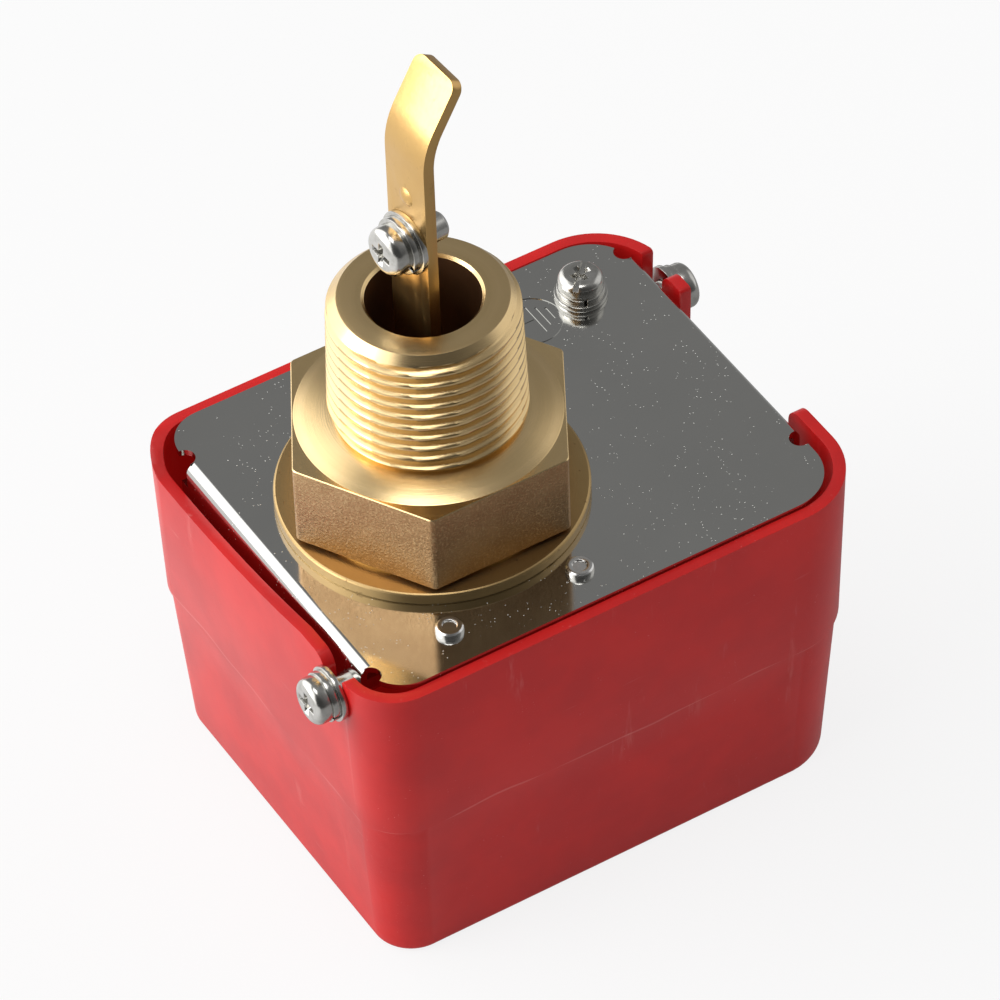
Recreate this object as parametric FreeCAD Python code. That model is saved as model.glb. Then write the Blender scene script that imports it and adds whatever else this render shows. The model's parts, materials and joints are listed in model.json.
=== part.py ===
"""Paddle flow switch with a red box cover, a plated base plate and a brass pipe fitting.

Frame: millimetres, +Z up along the pipe thread. The origin lies on the thread's axis, in the
plane of the cover's flat base. +X runs along the plate's long side, the way the flow pushes the
arm, and +Y along its short side.
"""
import FreeCAD, Part
import math
import os

Vector = FreeCAD.Vector
ORIGIN = Vector(0, 0, 0)
EAST = Vector(1, 0, 0)
NORTH = Vector(0, 1, 0)
UP = Vector(0, 0, 1)
DOWN = Vector(0, 0, -1)

# ---- Cover: a moulded box, open at the top ----
cover_depth = 66.0          # from the flat base to the rim
cover_wall = 2.2
cover_left_gap = 1.2        # cavity to the plate, at the rim
cover_right_gap = 1.9
cover_near_gap = 0.25
cover_far_gap = 1.1
cover_corner_left = 9.5     # outer corner radius at the rim
cover_corner_right = 14.0
corner_share = 0.6          # of an inset, by which the corner radius shrinks
upper_draft = 0.95          # outer face comes in by this from the rim to the step
upper_inner_draft = 0.7
step_below_rim = 33.0
step_width = 0.46
base_inset = 3.7            # outer face at the base lies this far inside the rim
near_share = 0.89           # of an inset, on the near side
floor_inset = 3.4           # cavity at the floor lies this far inside the cavity's mouth
base_edge_radius = 1.5
rim_drop = 0.8              # the plate stands proud of the rim by this
rim_dip = 4.4               # the left wall's rim sinks by this along its far part
dip_start = 10.3            # it starts to fall this far beyond the slot's centre
dip_run = 42.0              # and falls over this length
dip_end = 10.7              # it rises again from this far inside the outer far face
dip_top = 1.2               # up to this far inside it
far_dip = 0.85              # the far wall's rim is lower by this at its left
far_dip_run = 36.0          # and reaches the full height over this length from the axis

# ---- Base plate ----
plate_length = 92.0         # over the two flanges
plate_width = 75.6
sheet = 1.2
bend_radius = 2.0           # outside of the fold
plate_corner_left = 7.0
plate_corner_right = 9.5
flange_depth = 30.0
lug_drop = 5.0              # beneath the plate's top the flanges are wider by the lug
lug_width = 2.0
tab_recess = 0.8            # plate corners stop short of the flange faces by this
relief_radius = 1.9
left_relief_inset = 0.8     # relief centre to the flange's face
right_relief_inset = 1.2
left_relief_near = 5.7      # relief centre to the plate's near or far edge
left_relief_far = 8.6
right_relief_near = 13.5
right_relief_far = 6.4
axis_to_left = 31.9         # thread axis to the left flange face
axis_to_near = 36.94        # thread axis to the near edge
stem_hole_radius = 12.0
conduit_radius = 11.25      # knockout for a 22 mm gland
conduit_drop = 20.0         # its centre beneath the plate's top
sign_x = 35.9               # stamped protective-earth sign
sign_y = 26.2
sign_radius = 5.7
sign_line = 0.35
sign_depth = 0.12
sign_bars = ((0.95, 7.3), (2.43, 5.1), (3.9, 3.2))   # offset from the centre, length

# ---- Screws that hold the cover, one in each flange ----
cover_screw_size = 5.0
left_screw_drop = 5.9       # axis beneath the plate's top
right_screw_drop = 9.3
cover_screw_offset = 26.9   # from the plate's centre line
cover_screw_stickout = 4.0  # past the inside of the flange
cover_head_radius = 4.2
cover_head_height = 2.8
washer_to_wall = 0.15       # screws are slackened by this
slot_width = 5.8
slot_lead = 3.0             # rounding at the slot's mouth
slot_lead_small = 0.8
notch_width = 34.1          # conduit notch in the right wall
notch_offset = 0.95         # from the plate's centre line
notch_depth = 37.0          # beneath the rim
notch_corner = 4.0

# ---- Brass fitting: disc, hexagon and taper pipe thread ----
disc_radius = 26.9
disc_height = 2.3
disc_chamfer = 0.4
hex_across_flats = 46.0
hex_corner_round = 1.1
hex_gap = 0.75              # groove between the disc and the hexagon
hex_neck_radius = 22.6      # bottom of that groove
hex_height = 19.2           # above the plate
cone_height = 1.4
neck_radius = 15.8
nipple_height = 45.6        # above the plate
bore_radius = 9.8
lip_chamfer = 0.5
thread_end_radius = 16.35   # crest at the small end
thread_pitch = 2.309
thread_turns = 9
thread_depth = 1.3
thread_taper = 1.0 / 32.0   # radius per length of a 1 in 16 taper
end_chamfer = 2.0
end_face_radius = 14.4

# ---- Screws from beneath that hold the fitting ----
fitting_screw_size = 4.0
fitting_screw_circle = 20.0
fitting_screw_bite = 6.0    # into the disc and hexagon
fitting_head_radius = 3.8
fitting_head_height = 2.4

# ---- Bellows seal and the stem through it ----
seal_radius = 15.0
seal_thickness = 1.5
seal_play = 0.05
bellows_outer = 7.0
bellows_inner = 5.4
bellows_skin = 0.4
bellows_top = 16.0          # above the plate
bellows_folds = 6
stem_radius = 3.0
stem_cap_thickness = 1.5
stem_head_radius = 6.4
stem_head_height = 6.5

# ---- Brass arm strip ----
strip_width = 10.5
strip_thickness = 2.1
strip_offset = 1.4          # its middle plane stands this far to the left of the axis
strip_turn = 5.4            # degrees about the thread axis
strip_seat = 5.0            # length held in the stem's head
strip_bend_start = 76.8     # above the plate
strip_bend_radius = 14.5
strip_bend = 32.0           # degrees
strip_tip_height = 92.3     # at the middle of its slanted tip
strip_tip_slant = 2.5       # degrees
strip_tip_round = 2.0
dimple_gap = 2.2            # from the flat washer's rim to the dimple's rim
dimple_radius = 1.8
dimple_rise = 0.6
arm_screw_size = 5.0
arm_screw_height = 59.1
arm_screw_stickout = 4.8
arm_head_radius = 4.4
arm_head_height = 3.2
arm_flat_radius = 5.7
arm_spring_radius = 5.1

# ---- Earth screw and rivets on the plate ----
earth_screw_size = 4.0
earth_x = 46.8
earth_y = 27.2
earth_stickout = 4.0
earth_head_radius = 4.0
earth_head_height = 2.9
earth_slot_width = 1.0
earth_slot_depth = 1.0
earth_flat_radius = 4.7
earth_flat_thickness = 1.0
earth_spring_radius = 4.25
earth_spring_thickness = 1.2
rivet_places = ((-14.7, -29.5), (10.8, -29.6))
rivet_head_radius = 2.5
rivet_head_height = 1.3
rivet_shank_radius = 1.5
rivet_cup_radius = 1.3
rivet_cup_depth = 0.35
rivet_tail_height = 1.0

# ---- Mechanism frame under the plate ----
frame_sheet = 1.5
frame_left = 21.0           # from the pivot axis
frame_right = 50.0
frame_waist = 20.0          # where the wide part ends
frame_near = 33.6
frame_far = 19.0
shelf_half_width = 7.0
leg_short = 1.0             # the leg and the shelf's far edge stop short of that by this
cheek_gap = 15.0            # between the two pivot cheeks
cheek_half_length = 7.0
cheek_below_pivot = 5.0
frame_window = 9.0

# ---- Pivot and rocker ----
pivot_drop = 12.0           # beneath the plate's top
pin_radius = 2.0
pin_end = 1.6               # past each clip
running_play = 0.05
clip_radius = 3.6
clip_thickness = 0.7
hub_half_length = 5.5
hub_half_width = 7.0
hub_above_pivot = 8.0
hub_below_pivot = 5.0
stem_socket = 4.0
lever_half_width = 4.0
lever_thickness = 2.5
lever_below_pivot = 0.5     # its top face beneath the pivot axis

# ---- Range spring and its adjusting screw ----
range_reach = 12.5          # from the pivot axis
spring_radius = 4.0         # middle of the wire
spring_wire = 1.0
spring_turns = 6
spring_length = 15.0
range_screw_size = 5.0
nut_radius = 5.2
nut_thickness = 4.0
nut_ear_half_width = 3.0
nut_ear_gap = 0.15          # to the frame's leg
nut_to_clip = 4.5
range_clip_radius = 4.6
range_head_radius = 4.2
range_head_height = 3.0
range_slot = 1.2            # width and depth of its driver slot
range_groove = 0.4
range_shank_above_nut = 8.0
shelf_sheet = 1.5

# ---- Switch ----
leg_to_switch_screw = 0.16  # frame's leg to the heads of the switch's screws
trip_gap = 0.3
trip_screw_size = 3.0
trip_screw_below = 2.5
trip_screw_above = 5.0
trip_nut_flats = 5.5
trip_nut_height = 2.4
trip_slot_width = 0.6
trip_slot_depth = 0.8
switch_length = 49.2
switch_thickness = 17.4
switch_height = 24.2
switch_lid_height = 4.2
switch_corner = 1.5
guide_play = 0.5            # plunger in the switch's body, which the lid guides
guide_depth = 4.0           # beneath the lid
plunger_radius = 2.2
plunger_rise = 3.6
plunger_off_centre = 7.4
switch_hole_pitch = 25.4
switch_hole_height = 5.0    # above the switch's bottom
switch_screw_size = 4.0
switch_screw_end = 1.5      # past its nut
terminal_pitch = 16.0
terminal_width = 8.0
terminal_thickness = 1.0
terminal_drop = 3.0
terminal_inset = 1.5
terminal_screw_size = 3.5
insulator_sheet = 0.4
bracket_sheet = 1.5
bracket_edge = 3.3          # past the switch's screws
bracket_foot = 8.5
bracket_screw_size = 3.0
bracket_screw_pitch = 16.0
screw_play = 0.05

# ---- Screws and washers: shares of a screw's size ----
pan_head_radius = 0.9
pan_head_height = 0.66
pan_head_side = 0.5         # straight part of the head's side, share of its height
cross_half_length = 0.5
cross_half_width = 0.13
cross_depth = 0.42
washer_bore = 0.53
flat_washer_radius = 1.0
flat_washer_thickness = 0.2
spring_washer_radius = 0.9
spring_washer_thickness = 0.28
spring_washer_split = 0.14
nut_flats = 1.75
nut_height = 0.8

# ---- Places that follow from the sizes above ----
leg_right = range_reach + shelf_half_width - leg_short
trip_reach = leg_right + leg_to_switch_screw + switch_screw_size * pan_head_height + switch_thickness / 2
dimple_height = arm_screw_height + arm_flat_radius + dimple_gap + dimple_radius
plate_top = cover_depth + rim_drop
plate_under = plate_top - sheet
plate_left = -axis_to_left
plate_right = plate_left + plate_length
plate_near = -axis_to_near
plate_far = plate_near + plate_width
plate_middle = (plate_near + plate_far) / 2
pivot_z = plate_top - pivot_drop
left_screw_z = plate_top - left_screw_drop
right_screw_z = plate_top - right_screw_drop
left_screw_y = plate_middle - cover_screw_offset
right_screw_y = plate_middle + cover_screw_offset
conduit_z = plate_top - conduit_drop
lever_top = pivot_z - lever_below_pivot
lever_under = lever_top - lever_thickness
nut_top = lever_under - spring_length
nut_bottom = nut_top - nut_thickness
range_clip_top = nut_bottom - nut_to_clip
shelf_top = range_clip_top - clip_thickness
shelf_bottom = shelf_top - shelf_sheet
switch_top = lever_under - trip_screw_below - trip_gap - plunger_rise
switch_bottom = switch_top - switch_height
switch_left = trip_reach - switch_thickness / 2
switch_right = switch_left + switch_thickness
switch_middle = plunger_off_centre
bracket_half_width = switch_hole_pitch / 2 + bracket_edge
bracket_left = switch_right + insulator_sheet
frame_under = plate_under - frame_sheet


# ---- Helpers ----
def box(low, high):
    size = [high[i] - low[i] for i in range(3)]
    return Part.makeBox(size[0], size[1], size[2], Vector(*low))


def rod(radius, start, end):
    """Cylinder between two points."""
    along = end - start
    return Part.makeCylinder(radius, along.Length, start, along)


def ring(outer, inner, start, end):
    return rod(outer, start, end).cut(rod(inner, start, end))


def turned(points):
    """Solid of revolution about Z of a closed (radius, height) outline."""
    outline = Part.makePolygon([Vector(r, 0, z) for r, z in points + points[:1]])
    return Part.Face(outline).revolve(ORIGIN, UP, 360)


def placed(shape, where, along=UP, twist=0.0):
    """Shape drawn along +Z, moved to a point and aimed along a direction."""
    aim = FreeCAD.Rotation(UP, along)
    spin = FreeCAD.Rotation(UP, twist)
    moved = shape.copy()
    moved.Placement = FreeCAD.Placement(where, aim.multiply(spin)).multiply(shape.Placement)
    return moved


def rounded_rectangle(left, right, near, far, radii, z):
    """Closed wire at one height, with arcs at its corners. radii are its left and right ones."""
    edges = []
    at_left, at_right = radii
    corners = ((right - at_right, near + at_right, -90, at_right),
               (right - at_right, far - at_right, 0, at_right),
               (left + at_left, far - at_left, 90, at_left),
               (left + at_left, near + at_left, 180, at_left))
    ends = []
    for x, y, start, radius in corners:
        arc = Part.makeCircle(radius, Vector(x, y, z), UP, start, start + 90)
        ends.append((arc.valueAt(arc.FirstParameter), arc.valueAt(arc.LastParameter), arc))
    for i, (_, last, arc) in enumerate(ends):
        edges.append(arc)
        edges.append(Part.makeLine(last, ends[(i + 1) % 4][0]))
    return Part.Wire(edges)


def hexagon(across_flats, low, high):
    radius = across_flats / math.sqrt(3)
    points = []
    for i in range(7):
        angle = math.radians(60 * i)
        points.append(Vector(radius * math.cos(angle), radius * math.sin(angle), low))
    return Part.Face(Part.makePolygon(points)).extrude(Vector(0, 0, high - low))


def cross_recess(size, top):
    """Phillips recess that narrows downwards from the top of a head."""
    long = size * cross_half_length
    width = size * cross_half_width
    depth = size * cross_depth
    wedges = []
    for turn in (0, 90):
        low = Part.makePolygon([Vector(x * long * 0.35, y * width * 0.7, top - depth)
                                for x, y in ((-1, -1), (1, -1), (1, 1), (-1, 1), (-1, -1))])
        high = Part.makePolygon([Vector(x * long, y * width, top + 0.2)
                                 for x, y in ((-1, -1), (1, -1), (1, 1), (-1, 1), (-1, -1))])
        wedge = Part.makeLoft([low, high], True, True)
        wedge.rotate(ORIGIN, UP, turn)
        wedges.append(wedge)
    return wedges[0].fuse(wedges[1])


def pan_screw(size, length, head_radius=None, head_height=None):
    """Pan head screw: its shank hangs from the plane z = 0, and its head stands on it."""
    head_radius = head_radius or size * pan_head_radius
    head_height = head_height or size * pan_head_height
    shoulder = head_height * pan_head_side
    rounding = head_height - shoulder
    flat_radius = head_radius - rounding
    edge = Vector(head_radius, 0, shoulder)
    bulge = Vector(flat_radius + rounding * math.sqrt(0.5), 0, shoulder + rounding * math.sqrt(0.5))
    flat_end = Vector(flat_radius, 0, head_height)
    rounded = Part.Arc(edge, bulge, flat_end).toShape()
    sides = Part.makePolygon([flat_end, Vector(0, 0, head_height), ORIGIN, Vector(head_radius, 0, 0), edge])
    head = Part.Face(Part.Wire(sides.Edges + [rounded])).revolve(ORIGIN, UP, 360)
    head = head.cut(cross_recess(size, head_height))
    tip = size * 0.1
    shank = turned([(0, 0.01), (size / 2, 0.01), (size / 2, tip - length),
                    (size / 2 - tip, -length), (0, -length)])
    return head.fuse(shank).removeSplitter()


def flat_washer(size, thickness, low=0.0):
    top = Vector(0, 0, low + thickness)
    return ring(size * flat_washer_radius, size * washer_bore, Vector(0, 0, low), top)


def washer_split(size, low, high):
    """Gap that splits a spring washer, on one side."""
    half = size * spring_washer_split / 2
    gap = box((0, -half, low - 1), (size * 2, half, high + 1))
    gap.rotate(ORIGIN, UP, 250)
    return gap


def spring_washer(size, thickness, low=0.0):
    """Split ring with square section."""
    top = Vector(0, 0, low + thickness)
    body = ring(size * spring_washer_radius, size * washer_bore, Vector(0, 0, low), top)
    return body.cut(washer_split(size, low, low + thickness))


def clip(radius, inner, thickness, where, along):
    """E shaped retaining clip, open on one side."""
    body = ring(radius, inner, ORIGIN, Vector(0, 0, thickness))
    mouth = box((0, -inner * 0.8, -1), (radius + 1, inner * 0.8, thickness + 1))
    return placed(body.cut(mouth), where, along)


def group(shapes):
    return Part.makeCompound(shapes)


# ---- Cover ----
def cover_wire(wall, inset, z):
    """Outline of the cover's outer face, or of its cavity when wall is 0."""
    grow = wall - inset
    radii = []
    for corner in (cover_corner_left, cover_corner_right):
        radii.append(max(corner - cover_wall + wall - inset * corner_share, 1.0))
    return rounded_rectangle(plate_left - cover_left_gap - grow, plate_right + cover_right_gap + grow,
                             plate_near - cover_near_gap - wall + inset * near_share,
                             plate_far + cover_far_gap + grow, radii, z)


def cover_outline(inset, z):
    return cover_wire(cover_wall, inset, z)


def cavity_outline(inset, z):
    return cover_wire(0.0, inset, z)


def edge_rounding(side, y, radius, x_low, x_high, z):
    """Corner piece whose removal rounds a rim corner at y. side is where the material lies."""
    corner = box((x_low, min(y, y + side * radius), z - radius),
                 (x_high, max(y, y + side * radius), z + 1))
    centre = Vector(x_low, y + side * radius, z - radius)
    return corner.cut(rod(radius, centre, centre + EAST * (x_high - x_low)))


def screw_slot(y, z, x_low, x_high, near_lead, far_lead):
    """Slot open at the rim, with a half-round end below the screw and rounded mouth corners."""
    half = slot_width / 2
    slot = box((x_low, y - half, z), (x_high, y + half, cover_depth + 1))
    slot = slot.fuse(rod(half, Vector(x_low, y, z), Vector(x_high, y, z)))
    slot = slot.fuse(edge_rounding(-1, y - half, near_lead, x_low, x_high, cover_depth))
    return slot.fuse(edge_rounding(1, y + half, far_lead, x_low, x_high, cover_depth))


def conduit_notch(x_low, x_high):
    half = notch_width / 2
    low = cover_depth - notch_depth
    near = plate_middle + notch_offset - half
    far = plate_middle + notch_offset + half
    notch = box((x_low, near, low), (x_high, far, cover_depth + 1))
    corners = [edge for edge in notch.Edges
               if edge.BoundBox.ZMax < low + 0.01 and edge.BoundBox.XLength > 1]
    notch = notch.makeFillet(notch_corner, corners)
    notch = notch.fuse(edge_rounding(-1, near, slot_lead, x_low, x_high, cover_depth))
    return notch.fuse(edge_rounding(1, far, slot_lead_small, x_low, x_high, cover_depth))


def left_rim_height(y):
    """Height of the left wall's rim: it sinks in a long curve and rises again at the far corner."""
    start = left_screw_y + dip_start
    fall = min(max((y - start) / dip_run, 0.0), 1.0)
    sunk = rim_dip * (1 - (1 - fall) ** 2)
    outer = plate_far + cover_far_gap + cover_wall
    rise = min(max((y - outer + dip_end) / (dip_end - dip_top), 0.0), 1.0)
    rise = rise * rise * (3 - 2 * rise)
    return cover_depth - sunk * (1 - rise) - far_dip * rise


def left_rim_cut(x_low, x_high):
    """Prism above the left wall's rim."""
    start = left_screw_y + dip_start
    end = plate_far + cover_far_gap + cover_wall
    steps = 24
    points = []
    for i in range(steps + 1):
        y = start + (end - start) * i / steps
        points.append(Vector(x_low, y, left_rim_height(y)))
    curve = Part.BSplineCurve()
    curve.interpolate(points)
    top = cover_depth + 1
    lines = Part.makePolygon([points[-1], Vector(x_low, end + 1, top), Vector(x_low, start, top),
                              points[0]])
    return Part.Face(Part.Wire([curve.toShape()] + lines.Edges)).extrude(EAST * (x_high - x_low))


def far_rim_cut(x_low):
    """Wedge above the far wall's rim."""
    near = plate_far + cover_far_gap - 1
    low = cover_depth - far_dip
    top = cover_depth + 1
    outline = Part.makePolygon([Vector(x_low, near, low), Vector(0, near, low),
                                Vector(far_dip_run, near, cover_depth), Vector(far_dip_run, near, top),
                                Vector(x_low, near, top), Vector(x_low, near, low)])
    return Part.Face(outline).extrude(NORTH * (cover_wall + 3))


def make_cover():
    step_z = cover_depth - step_below_rim
    upper = Part.makeLoft([cover_outline(upper_draft, step_z), cover_outline(0, cover_depth)],
                          True, True)
    lower = Part.makeLoft([cover_outline(base_inset, 0),
                           cover_outline(upper_draft + step_width, step_z)], True, True)
    lower = lower.makeFillet(base_edge_radius,
                             [edge for edge in lower.Edges if edge.BoundBox.ZMax < 0.01])
    upper_cavity = Part.makeLoft([cavity_outline(upper_inner_draft, step_z),
                                  cavity_outline(0, cover_depth)], True, True)
    lower_cavity = Part.makeLoft([cavity_outline(floor_inset, cover_wall),
                                  cavity_outline(upper_inner_draft, step_z)], True, True)
    shell = upper.fuse(lower).cut(upper_cavity.fuse(lower_cavity))
    left = plate_left - cover_left_gap
    right = plate_right + cover_right_gap
    reach = cover_wall + 2
    shell = shell.cut(screw_slot(left_screw_y, left_screw_z, left - reach, left + 1,
                                 slot_lead_small, slot_lead))
    shell = shell.cut(screw_slot(right_screw_y, right_screw_z, right - 1, right + reach,
                                 slot_lead, slot_lead_small))
    shell = shell.cut(conduit_notch(right - 2, right + reach))
    shell = shell.cut(far_rim_cut(left - reach))
    return shell.cut(left_rim_cut(left - reach, left + cover_corner_left))


# ---- Base plate ----
def flange_blank(outer_x, inward, near, far):
    """Down-turned end flange with a rounded fold, from its fold line in the plate downwards."""
    centre_x = outer_x + inward * bend_radius
    centre_z = plate_top - bend_radius
    span = Vector(0, far - near, 0)
    start = Vector(centre_x, near, centre_z)
    outer = rod(bend_radius, start, start + span)
    inner = rod(bend_radius - sheet, start, start + span)
    quarter = box((min(outer_x, centre_x), near, centre_z), (max(outer_x, centre_x), far, plate_top))
    fold = outer.cut(inner).common(quarter)
    inside_x = outer_x + inward * sheet
    low = plate_top - flange_depth
    leg = box((min(outer_x, inside_x), near, low), (max(outer_x, inside_x), far, centre_z))
    lug = box((min(outer_x, inside_x), near, low),
              (max(outer_x, inside_x), far + lug_width, plate_top - lug_drop))
    return fold.fuse(leg).fuse(lug)


def earth_sign():
    """Shallow stamped grooves: a circle with a stem and three bars."""
    top = plate_top + 0.1
    low = plate_top - sign_depth
    centre = Vector(sign_x, sign_y, low)
    half = sign_line / 2
    sign = ring(sign_radius + half, sign_radius - half, centre, Vector(sign_x, sign_y, top))
    for offset, length in sign_bars:
        bar = box((sign_x + offset - half, sign_y - length / 2, low),
                  (sign_x + offset + half, sign_y + length / 2, top))
        sign = sign.fuse(bar)
    stem = box((sign_x - sign_radius * 0.7, sign_y - half, low),
               (sign_x + sign_bars[0][0], sign_y + half, top))
    return sign.fuse(stem)


def make_base_plate():
    blank = Part.Face(rounded_rectangle(plate_left + tab_recess, plate_right - tab_recess,
                                        plate_near, plate_far,
                                        (plate_corner_left, plate_corner_right), plate_under))
    plate = blank.extrude(UP * sheet)
    ends = ((plate_left, 1, left_relief_inset, plate_near + left_relief_near,
             plate_far - left_relief_far),
            (plate_right, -1, right_relief_inset, plate_near + right_relief_near,
             plate_far - right_relief_far))
    for outer_x, inward, inset, relief_near, relief_far in ends:
        near = relief_near + relief_radius
        far = relief_far - relief_radius
        fold_x = outer_x + inward * bend_radius
        strip = box((min(outer_x, fold_x), near, plate_under - 1),
                    (max(outer_x, fold_x), far, plate_top + 1))
        plate = plate.cut(strip).fuse(flange_blank(outer_x, inward, near, far))
        for y in (relief_near, relief_far):
            centre = Vector(outer_x + inward * inset, y, plate_under - 1)
            plate = plate.cut(rod(relief_radius, centre, centre + UP * (sheet + 2)))
    tapped = cover_screw_size / 2 + screw_play
    for x, y, z in ((plate_left, left_screw_y, left_screw_z), (plate_right, right_screw_y, right_screw_z)):
        plate = plate.cut(rod(tapped, Vector(x - 3, y, z), Vector(x + 3, y, z)))
    plate = plate.cut(rod(conduit_radius, Vector(plate_right - 3, plate_middle, conduit_z),
                          Vector(plate_right + 3, plate_middle, conduit_z)))
    holes = [(0, 0, stem_hole_radius), (earth_x, earth_y, earth_screw_size / 2 + screw_play)]
    holes += [(x, y, fitting_screw_size / 2 + screw_play) for x, y in fitting_screw_places()]
    holes += [(x, y, rivet_shank_radius + screw_play) for x, y in rivet_places]
    for x, y, radius in holes:
        plate = plate.cut(rod(radius, Vector(x, y, plate_under - 1), Vector(x, y, plate_top + 1)))
    return plate.cut(earth_sign()).removeSplitter()


# ---- Brass fitting ----
def fitting_screw_places():
    reach = fitting_screw_circle * math.sqrt(0.5)
    return [(x * reach, y * reach) for x, y in ((1, 1), (-1, 1), (-1, -1), (1, -1))]


def thread_outline():
    """Radius and height points of the taper thread, from its lowest root to the end chamfer."""
    half = thread_pitch / 2
    flat = thread_pitch * 0.28
    first_crest = nipple_height - end_chamfer - flat
    points = []
    for turn in range(thread_turns):
        z = first_crest - turn * thread_pitch
        crest = thread_end_radius + (first_crest - z) * thread_taper
        points.append((crest, z + flat / 2))
        points.append((crest, z - flat / 2))
        points.append((crest - thread_depth, z - half))
    return points[::-1]


def make_threaded_fitting():
    low = plate_top
    hex_top = low + hex_height
    flats = hex_across_flats / 2
    thread = [(r, z + low) for r, z in thread_outline()]
    end = low + nipple_height
    nipple = turned([(0, hex_top - 1), (flats - 0.1, hex_top - 1), (flats - 0.1, hex_top),
                     (neck_radius, hex_top + cone_height)] + thread
                    + [(thread_end_radius, end - end_chamfer), (end_face_radius, end), (0, end)])
    disc_top = low + disc_height
    hexa = hexagon(hex_across_flats, disc_top + hex_gap, hex_top)
    uprights = [edge for edge in hexa.Edges if edge.BoundBox.ZLength > 1]
    hexa = hexa.makeFillet(hex_corner_round, uprights)
    disc = turned([(0, low), (disc_radius, low), (disc_radius, disc_top - disc_chamfer),
                   (disc_radius - disc_chamfer, disc_top), (hex_neck_radius, disc_top),
                   (hex_neck_radius, disc_top + hex_gap + 0.5), (0, disc_top + hex_gap + 0.5)])
    body = disc.fuse(hexa).fuse(nipple)
    lip = bore_radius + lip_chamfer
    bore = turned([(0, low - 1), (bore_radius, low - 1), (bore_radius, end - lip_chamfer), (lip, end),
                   (lip, end + 1), (0, end + 1)])
    body = body.cut(bore)
    recess = rod(seal_radius + seal_play, Vector(0, 0, low - 1), Vector(0, 0, low + seal_thickness))
    body = body.cut(recess)
    for x, y in fitting_screw_places():
        hole = rod(fitting_screw_size / 2 + screw_play, Vector(x, y, low - 1),
                   Vector(x, y, low + fitting_screw_bite + 1))
        body = body.cut(hole)
    return body.removeSplitter()


def make_fitting_screws():
    length = frame_sheet + sheet + fitting_screw_bite
    screw = pan_screw(fitting_screw_size, length, fitting_head_radius, fitting_head_height)
    return group([placed(screw, Vector(x, y, frame_under), DOWN) for x, y in fitting_screw_places()])


# ---- Seal and stem ----
def make_bellows_flange():
    top = Vector(0, 0, plate_top + seal_thickness)
    return ring(seal_radius, bellows_inner, Vector(0, 0, plate_top), top)


def make_bellows():
    """Thin folded tube, soldered to the flange below and to the stem's cap above."""
    low = plate_top + seal_thickness
    high = plate_top + bellows_top
    step = (high - low) / bellows_folds
    outer = []
    for fold in range(bellows_folds):
        base = low + fold * step
        outer.append((bellows_inner + bellows_skin, base))
        outer.append((bellows_outer, base + step * 0.35))
        outer.append((bellows_outer, base + step * 0.65))
    outer.append((bellows_inner + bellows_skin, high))
    inner = [(r - bellows_skin, z) for r, z in outer]
    return turned(outer + inner[::-1])


def make_lever_stem():
    cap_low = plate_top + bellows_top
    head_top = cap_low + stem_cap_thickness + stem_head_height
    stem_low = pivot_z + hub_above_pivot - stem_socket
    stem = rod(stem_radius, Vector(0, 0, stem_low), Vector(0, 0, cap_low + 0.5))
    head = rod(stem_head_radius, Vector(0, 0, cap_low), Vector(0, 0, head_top))
    return stem.fuse(head).cut(strip_blank()).removeSplitter()


# ---- Arm ----
def turned_strip(shape):
    shape.rotate(ORIGIN, UP, strip_turn)
    return shape


def strip_low():
    return plate_top + bellows_top + stem_cap_thickness + stem_head_height - strip_seat


def strip_tip():
    """Middle of the strip's tip, before the strip is turned about the thread axis."""
    angle = math.radians(strip_bend)
    bend_x = strip_bend_radius * (1 - math.cos(angle)) - strip_offset
    bend_z = plate_top + strip_bend_start + strip_bend_radius * math.sin(angle)
    tip_z = plate_top + strip_tip_height
    return Vector(bend_x + (tip_z - bend_z) * math.tan(angle), 0, tip_z)


def strip_tip_cut():
    """Block above the slanted tip."""
    angle = math.radians(strip_bend)
    slant = math.radians(strip_tip_slant)
    away = Vector(math.sin(angle) * math.cos(slant), -math.sin(slant), math.cos(angle) * math.cos(slant))
    block = box((-2 * strip_width, -2 * strip_width, 0), (2 * strip_width, 2 * strip_width, 3 * strip_width))
    return turned_strip(placed(block, strip_tip(), away))


def strip_blank():
    """The bent strip, longer than it will be, before its tip is cut and its holes are made."""
    half = strip_thickness / 2
    start = Vector(-strip_offset, 0, plate_top + strip_bend_start)
    angle = math.radians(strip_bend)
    centre_x = start.x + strip_bend_radius
    lean = Vector(math.sin(angle), 0, math.cos(angle))
    square = Vector(math.cos(angle), 0, -math.sin(angle))
    tip = strip_tip() + lean * strip_width

    def arc(radius):
        points = []
        for part in (0.0, 0.5, 1.0):
            a = angle * part
            points.append(Vector(centre_x - radius * math.cos(a), 0, start.z + radius * math.sin(a)))
        return Part.Arc(points[0], points[1], points[2]).toShape(), points

    left_arc, left_points = arc(strip_bend_radius + half)
    right_arc, right_points = arc(strip_bend_radius - half)
    foot_left = Vector(start.x - half, 0, strip_low())
    foot_right = Vector(start.x + half, 0, strip_low())
    tip_left = tip - square * half
    tip_right = tip + square * half
    edges = [Part.makeLine(foot_left, left_points[0]), left_arc,
             Part.makeLine(left_points[2], tip_left), Part.makeLine(tip_left, tip_right),
             Part.makeLine(tip_right, right_points[2]), right_arc,
             Part.makeLine(right_points[0], foot_right), Part.makeLine(foot_right, foot_left)]
    face = Part.Face(Part.Wire(Part.__sortEdges__(edges)))
    face.translate(Vector(0, -strip_width / 2, 0))
    return turned_strip(face.extrude(NORTH * strip_width))


def arm_point(out, z):
    """Point beside the strip: out is its distance to the right of the strip's middle plane."""
    point = Vector(out - strip_offset, 0, plate_top + z)
    turn = FreeCAD.Rotation(UP, strip_turn)
    return turn.multVec(point)


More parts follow.
